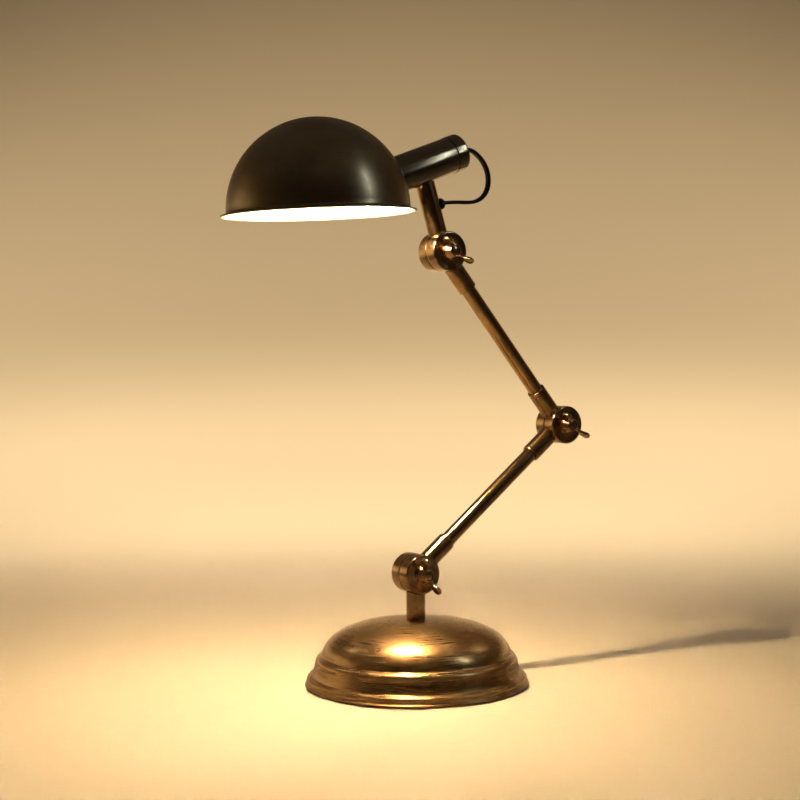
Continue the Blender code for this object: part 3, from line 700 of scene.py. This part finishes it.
def build_shade(socket):
    """A spun dome with a flared, rolled rim, white inside, and a side hole for the housing."""
    centre = socket @ Vector((0.0, 0.0, SHADE_CENTRE.x))
    across = direction(SOCKET_ANGLE + 90)
    centre += SHADE_CENTRE.z * across
    matrix = place(centre, direction(SHADE_ANGLE + 90))
    inside = SHADE_RADIUS - SHADE_WALL
    outer = [(0.0, SHADE_RADIUS)] + arc((0.0, 0.0), (SHADE_RADIUS, SHADE_RADIUS), 89, 3, 56)
    outer += arc((82.2 * MM, 1.2 * MM), (3.3 * MM, 3.3 * MM), 195, 258, 6)
    outer += arc((SHADE_RIM - 0.9 * MM, -3.0 * MM), (0.9 * MM, 0.9 * MM), 80, -95, 8)
    inner = [(81.4 * MM, -3.3 * MM), (79.6 * MM, -2.6 * MM), (78.5 * MM, -1.0 * MM)]
    inner += arc((0.0, 0.0), (inside, inside), 2, 89, 56)
    inner += [(0.0, inside)]
    shape = lathe(outer + inner, 256, len(outer) - 1)
    dome = to_object("spun_shade", shape, [BRONZE, ENAMEL], matrix)
    side_hole = rod_outline(HOUSING_RADIUS + 0.15 * MM, -60 * MM, -15 * MM)
    combine(dome, "DIFFERENCE", lathe(side_hole, 160), socket)
    piece(dome, "head", ["shade"], 40.0)


# The lead leaves the end cap, drops in one loop and enters the neck; world X and Z, as in the CAD.
LEAD_ROUTE = (
    (0.0546, 0.4786), (0.0602, 0.4799), (0.0657, 0.4789), (0.0710, 0.4758), (0.0765, 0.4709),
    (0.0810, 0.4640), (0.0832, 0.4560), (0.0826, 0.4475), (0.0792, 0.4405), (0.0735, 0.4356),
    (0.0665, 0.4330), (0.0590, 0.4322), (0.0510, 0.4320), (0.0440, 0.4317), (0.0388, 0.4313),
    (0.0341, 0.4308),
)
LEAD_WIDTH = 6.0 * MM
LEAD_THICKNESS = 3.4 * MM


def smooth_route(points, steps):
    """Catmull-Rom points through a route, steps to each span."""
    ends = [2 * points[0] - points[1]] + points + [2 * points[-1] - points[-2]]
    result = []
    for index in range(len(points) - 1):
        a, b, c, d = ends[index:index + 4]
        for step in range(steps):
            t = step / steps
            result.append(0.5 * (2 * b + (c - a) * t + (2 * a - 5 * b + 4 * c - d) * t ** 2
                                 + (3 * b - a - 3 * c + d) * t ** 3))
    return result + [points[-1]]


def build_lead():
    """Flat twin cable: two round cores side by side under one sheath, its flat side along the loop."""
    route = smooth_route([Vector((x, 0.0, z)) for x, z in LEAD_ROUTE], 8)
    section = []
    core = LEAD_THICKNESS / 2
    offset = LEAD_WIDTH / 2 - core
    for sign in (1, -1):
        for step in range(13):
            turn = math.radians(-72 + 144 * step / 12)
            section.append((sign * (offset + core * math.cos(turn)), sign * core * math.sin(turn)))
    shape = bmesh.new()
    rings = []
    wide = Vector((0.0, 1.0, 0.0))
    for index, point in enumerate(route):
        ahead = route[min(index + 1, len(route) - 1)] - route[max(index - 1, 0)]
        thin = ahead.normalized().cross(wide)
        rings.append([shape.verts.new(point + wide * a + thin * b) for a, b in section])
    for low, high in zip(rings, rings[1:]):
        for index in range(len(section)):
            after = (index + 1) % len(section)
            shape.faces.new((low[index], low[after], high[after], high[index]))
    shape.faces.new(rings[0])
    shape.faces.new(rings[-1])
    lead = piece(to_object("flat_head_lead", shape, [SHEATH], Matrix.Identity(4)), "head",
                 ["head_lead"], 50.0)


# ---------------------------------------------------------------- stage


# Level directions of the view, which the stage and the lights are laid out by.
AHEAD = Vector((0.5336, 0.8458, 0.0))
ASIDE = Vector((0.8458, -0.5336, 0.0))

# The sweep, as radius and height in metres: a flat floor, then a quarter ellipse up to a low wall.
FLOOR_FLAT = 0.6
SWEEP_CENTRE = (1.0, 2.4)
SWEEP_RADII = (3.2, 2.4)
SWEEP_EDGE = (4.2, 3.2)
SWEEP_OUTSIDE = 4.3
FLOOR_UNDERSIDE = -0.1

AMBER = (1.0, 0.80, 0.52)
COOL = (0.84, 0.96, 1.0)
STUDIO = (0.62, 0.47, 0.32, 1.0)
STUDIO_STRENGTH = 0.12

SENSOR_WIDTH = 36.0
LENS = 69.46
CAMERA_PLACE = Vector((-743.3, -1157.4, 304.5)) * MM
CAMERA_SHIFT = 1.2 * MM  # to the left, which shares a small offset between the base and the post


def spot(ahead, aside, height):
    """A place in the room, from the lamp's post."""
    return AHEAD * ahead + ASIDE * aside + Vector((0.0, 0.0, height))


def build_stage():
    """A floor that sweeps up into a wall all round: pale behind the lamp, with painted shade before it on the
    camera's side.
    """
    outline = [(0.0, 0.0), (FLOOR_FLAT, 0.0)] + arc(SWEEP_CENTRE, SWEEP_RADII, -90, 0, 28) + [SWEEP_EDGE]
    outline += [(SWEEP_OUTSIDE, SWEEP_EDGE[1]), (SWEEP_OUTSIDE, FLOOR_UNDERSIDE), (0.0, FLOOR_UNDERSIDE)]
    nodes = Nodes("floor_with_painted_shade")
    position = nodes.position()
    # Painted shade: floor and wall on the camera's side are painted dark brown for an unlit room, fading to pale
    # behind the lamp.
    split = nodes.add("VectorMath", operation="DOT_PRODUCT")
    nodes.link(position, split.inputs[0])
    split.inputs[1].default_value = AHEAD - 0.35 * ASIDE
    painted_shade_fade = nodes.span(split.outputs["Value"], -2.2, -0.5)
    pale = nodes.blend(nodes.noise(position, 2.0), (0.54, 0.47, 0.37), (0.52, 0.455, 0.355))
    colour = nodes.blend(painted_shade_fade, (0.16, 0.12, 0.08), pale)
    nodes.set(Base_Color=colour, Roughness=0.85)
    floor = to_object("floor", lathe(outline, 128), [nodes.material], Matrix.Identity(4))
    floor.data.shade_smooth()
    floor.data.set_sharp_from_angle(angle=math.radians(40))


def area_light(name, location, target, size, power, colour):
    """A panel that lights and shows in the metal, but not to the camera."""
    light = bpy.data.lights.new(name, "AREA")
    light.shape = "RECTANGLE"
    light.size, light.size_y = size
    light.energy = power
    light.color = colour
    obj = bpy.data.objects.new(name, light)
    obj.location = location
    obj.rotation_euler = (Vector(target) - Vector(location)).to_track_quat("-Z", "Y").to_euler()
    obj.visible_camera = False
    bpy.context.scene.collection.objects.link(obj)


def wash_light(name, location, target, power, angle):
    """A soft cone of light for the floor and the wall: the lamp is outside it or at its faint edge."""
    light = bpy.data.lights.new(name, "SPOT")
    light.energy = power
    light.color = AMBER
    light.spot_size = math.radians(angle)
    light.spot_blend = 1.0
    light.shadow_soft_size = 0.3
    obj = bpy.data.objects.new(name, light)
    obj.location = location
    obj.rotation_euler = (target - location).to_track_quat("-Z", "Y").to_euler()
    bpy.context.scene.collection.objects.link(obj)


def build_lights():
    """Plain soft studio light: a dim room, one narrow cool panel and warm washes on the floor and wall."""
    world = bpy.data.worlds.new("studio")
    world.use_nodes = True
    background = world.node_tree.nodes["Background"]
    background.inputs["Color"].default_value = STUDIO
    background.inputs["Strength"].default_value = STUDIO_STRENGTH
    bpy.context.scene.world = world
    area_light("cool_strip", spot(-0.55, 1.34, 1.15), spot(0.0, 0.0, 1.0), (0.05, 0.8), 2.2, COOL)
    wash_light("left_wash", spot(0.3, -0.9, 2.6), spot(0.9, -3.2, 0.1), 560.0, 70)
    for side in (-1, 1):
        wash_light(f"backdrop_wash_{side + 2}", spot(0.3, 2.3 * side, 2.1),
                   spot(2.7, 0.3 * side, 0.0), 380.0, 74)
    for side in (-1, 1):
        wash_light(f"floor_wash_{side + 2}", spot(1.5, 1.5 * side, 1.8),
                   spot(1.55, 0.15 * side, 0.0), 110.0, 60)
        wash_light(f"near_wash_{side + 2}", spot(0.9, 1.2 * side, 1.3),
                   spot(0.85, 0.1 * side, 0.0), 60.0, 52)
    bpy.context.scene.view_settings.view_transform = "Standard"


def build_camera():
    """The viewpoint: a long lens a little above the lamp's mid-height, looking slightly down."""
    camera = bpy.data.cameras.new("camera")
    camera.sensor_width = SENSOR_WIDTH
    camera.lens = LENS
    camera.clip_start, camera.clip_end = 0.05, 200.0
    obj = bpy.data.objects.new("camera", camera)
    forward = Vector((0.5332, 0.8452, -0.0363)).normalized()
    right = Vector((0.8456, -0.5338, -0.0101))
    right = (right - forward * right.dot(forward)).normalized()
    up = right.cross(forward)
    axes = Matrix((right, up, -forward)).transposed().to_4x4()
    axes.translation = CAMERA_PLACE - CAMERA_SHIFT * right
    obj.matrix_world = axes
    bpy.context.scene.collection.objects.link(obj)
    bpy.context.scene.camera = obj


def main():
    finish_cad_nodes()
    build_base()
    up = Vector((0.0, 0.0, 1.0))
    post_length = BASE_PIVOT.z - DOME_TOP
    knuckle("post_rear_half", "post_knuckle", "root", BASE_PIVOT, -up, 1, post_length, POST_BORE)
    arm("lower_arm", BASE_PIVOT, ELBOW_PIVOT)
    arm("upper_arm", ELBOW_PIVOT, HEAD_PIVOT)
    joint_hardware(1, "root", BASE_PIVOT)
    joint_hardware(2, "lower_arm", ELBOW_PIVOT)
    joint_hardware(3, "upper_arm", HEAD_PIVOT)
    for number, pivot in enumerate((BASE_PIVOT, ELBOW_PIVOT, HEAD_PIVOT)):
        wing_nut(number + 1, pivot, WING_ANGLES[number])
    socket = build_head()
    build_shade(socket)
    build_lead()
    build_stage()
    build_lights()
    build_camera()


main()
